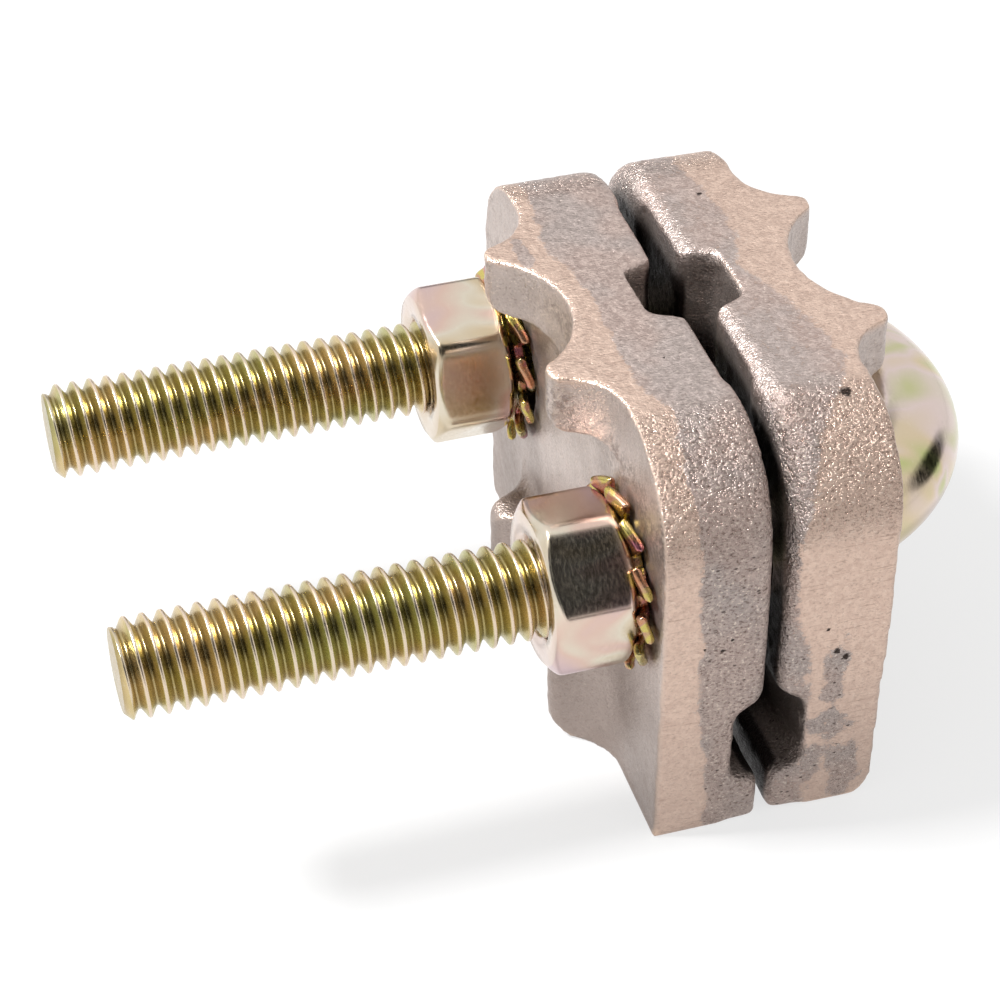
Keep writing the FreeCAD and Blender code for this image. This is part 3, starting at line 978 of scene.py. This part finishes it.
def washer_tooth(angle, ring_middle, tip_middle, pressing_nut=None):
    """Points and faces of one twisted tooth, a blade that widens and curls towards its tip."""
    columns, rows = TOOTH_GRID
    across, out = np.meshgrid(np.linspace(-1, 1, columns), np.linspace(0, 1, rows))
    root_half, tip_half = TOOTH_HALF_WIDTHS
    chord = (root_half + (tip_half - root_half) * out) * across
    reach = TOOTH_ROOT + (np.sqrt(WASHER_TIP ** 2 - chord ** 2) - TOOTH_ROOT) * out
    twist = step(out, 0.0, TOOTH_TWIST_END)
    middle = ring_middle + (tip_middle - ring_middle) * twist
    middle = middle - TOOTH_RISE * twist * np.sin(across * math.pi / 2)
    rounding = ((1 - across ** TOOTH_SIDE_POWER) * (1 - out ** TOOTH_END_POWER)
                * (1 - (1 - out) ** TOOTH_END_POWER))
    thick = TOOTH_SHEET / 2 * np.sqrt(rounding)
    right = reach * math.cos(angle) + chord * math.sin(angle)
    up = -reach * math.sin(angle) + chord * math.cos(angle)
    if pressing_nut is not None:
        face = nut_face(pressing_nut, np.hypot(right, up), np.arctan2(up, right))
        middle = np.maximum(middle, face + TOOTH_SHEET / 2 + TOOTH_CLEARANCE)
    points = np.concatenate([np.stack([right, level, up], 2).reshape(-1, 3)
                             for level in (middle - thick, middle + thick)])
    faces = []
    for row in range(rows - 1):
        for column in range(columns - 1):
            first = row * columns + column
            below = (first, first + 1, first + columns + 1, first + columns)
            faces.append(below)
            faces.append(tuple(corner + rows * columns for corner in reversed(below)))
    return points, faces


def star_washer(node, side, name, pressing_nut=None):
    """Lock washer: a flat ring with a crown of twisted teeth, and softened punched edges.

    The ring of a pressed one lies on the jaw, and the nut flattens the teeth that it covers.
    """
    low, high = box_mm(node)
    middle = (low[1] + high[1]) / 2
    ring_middle = middle if pressing_nut is None else high[1] - WASHER_SHEET / 2
    shells = [washer_ring(ring_middle)]
    for index in range(TOOTH_COUNT):
        angle = math.radians(index * 360 / TOOTH_COUNT + WASHER_TURNS[node])
        shells.append(washer_tooth(angle, ring_middle, middle, pressing_nut))
    piece = make_piece(name, *joined(shells), unit=1.0)
    clean(piece, WASHER_MERGE, unit=1.0)
    even_grained(piece, WASHER_VOXEL)
    mesh = piece.data
    points = mesh_points(mesh)
    even = Neighbours(mesh).blur(points, WASHER_SOFTEN_ROUNDS)
    points = points + (even - points) * WASHER_SOFTEN
    points += np.array([side * BEND_RADIUS, 0.0, LEG_HEIGHT])
    set_points(mesh, points * MM)
    return piece


# Stage
def card(name, direction, distance, radius, middle_strength, rim_strength):
    """Round studio card that only reflections see, from one strength to another at its rim."""
    towards = Vector(direction).normalized()
    bpy.ops.mesh.primitive_circle_add(vertices=CARD_SIDES, radius=radius, fill_type="NGON")
    made = bpy.context.object
    made.name = name
    made.location = towards * distance
    made.rotation_mode = "QUATERNION"
    made.rotation_quaternion = towards.to_track_quat("Z", "Y")
    g = Graph(bpy.data.materials.new(name))
    source = g.node("ShaderNodeTexCoord").outputs["Object"]
    away = g.node("ShaderNodeVectorMath", {0: source}, operation="LENGTH").outputs["Value"]
    strength = g.spread(away, CARD_FADE_START * radius, radius, middle_strength, rim_strength)
    g.finish(g.light(strength))
    made.data.materials.append(g.owner)
    made.visible_camera = False
    made.visible_diffuse = False
    made.visible_shadow = False


def white_floor():
    """Floor that looks white and keeps the shadow, but throws little light back up."""
    bpy.ops.mesh.primitive_plane_add(size=FLOOR_SIZE)
    floor = bpy.context.object
    floor.name = "floor"
    g = Graph(bpy.data.materials.new("floor"))
    paint = g.node("ShaderNodeBsdfDiffuse", {"Color": FLOOR_GREY}).outputs[0]
    glow = g.light(g.times(g.background_rays(), FLOOR_GLOW))
    g.finish(g.node("ShaderNodeAddShader", {0: paint, 1: glow}).outputs[0])
    floor.data.materials.append(g.owner)


def pale_world():
    """White where it is seen or mirrored, and a softer light on the object."""
    world = bpy.data.worlds.new("studio")
    bpy.context.scene.world = world
    g = Graph(world)
    strength = g.spread(g.background_rays(), 0.0, 1.0, WORLD_LIGHT, 1.0)
    light = g.node("ShaderNodeBackground", {"Color": WHITE, "Strength": strength})
    g.finish(light.outputs[0], "ShaderNodeOutputWorld")


def key_lamp():
    """Soft lamp behind the free ends of the legs, aimed at the clamp."""
    lamp = bpy.data.lights.new("key", "AREA")
    lamp.energy = KEY_POWER
    lamp.size = KEY_SIZE
    key = bpy.data.objects.new("key", lamp)
    key.location = KEY_PLACE
    key.rotation_mode = "QUATERNION"
    key.rotation_quaternion = (-Vector(KEY_PLACE)).to_track_quat("-Z", "Y")
    bpy.context.scene.collection.objects.link(key)


def camera():
    """Camera at the photograph's viewing angle."""
    lens = bpy.data.cameras.new("camera")
    lens.lens = CAMERA_LENS
    lens.sensor_width = SENSOR_WIDTH
    lens.clip_start = CAMERA_NEAREST * MM
    made = bpy.data.objects.new("camera", lens)
    place = Vector(CAMERA_PLACE) * MM
    aim = Vector(CAMERA_AIM) * MM
    made.location = place
    made.rotation_mode = "QUATERNION"
    made.rotation_quaternion = ((aim - place).to_track_quat("-Z", "Y")
                                @ Quaternion((0, 0, 1), math.radians(CAMERA_ROLL)))
    bpy.context.scene.collection.objects.link(made)
    bpy.context.scene.camera = made


def dress(piece, node, body, material):
    """Give a piece its material, its body and the node that it stands for."""
    piece.data.materials.clear()
    piece.data.materials.append(material)
    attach(piece, body)
    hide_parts(node)


bpy.context.scene.view_settings.view_transform = "Standard"

cast_bronze = bronze()
bolt_zinc = zinc("zinc_bolt", 7.0, 0.22, 0.002,
                 ((0.36, GREEN), (0.50, OLIVE), (0.62, GOLD)),
                 ((0.34, PALE_GREEN), (0.48, SAND_TINT), (0.58, PALE_LILAC), (0.72, PALE_GREEN)))
nut_zinc = zinc("zinc_nut", 7.0, 0.15, 0.0005,
                ((0.36, LILAC), (0.46, PINK), (0.55, CREAM), (0.66, SAND_TINT)))
washer_zinc = zinc("zinc_washer", 2.0, 0.20, 0.003,
                   ((0.30, MAGENTA), (0.40, COPPER), (0.48, BRONZE_TINT), (0.54, YELLOW),
                    (0.66, OLIVE)))

for node, name in (("front_jaw", "front_casting"), ("back_jaw", "back_casting")):
    dress(casting(node, name), node, node, cast_bronze)

u_bolt = bolt()
mark_edges(u_bolt, THREAD_EDGE)
dress(u_bolt, "u_bolt", "u_bolt", bolt_zinc)

for node, side, name in (("near_nut", 1, "near_hex_nut"), ("far_nut", -1, "far_hex_nut")):
    hex_nut = nut(node, side, name)
    mark_edges(hex_nut, STEEL_EDGE)
    dress(hex_nut, node, node, nut_zinc)

near_star = star_washer("near_lock_washer", 1, "near_star_washer", pressing_nut="near_nut")
far_star = star_washer("far_lock_washer", -1, "far_star_washer")
for node, star in (("near_lock_washer", near_star), ("far_lock_washer", far_star)):
    mark_edges(star, STEEL_EDGE)
    dress(star, node, "front_jaw", washer_zinc)

camera()
white_floor()
pale_world()
key_lamp()
for name, measures in CARDS.items():
    card(name, *measures)
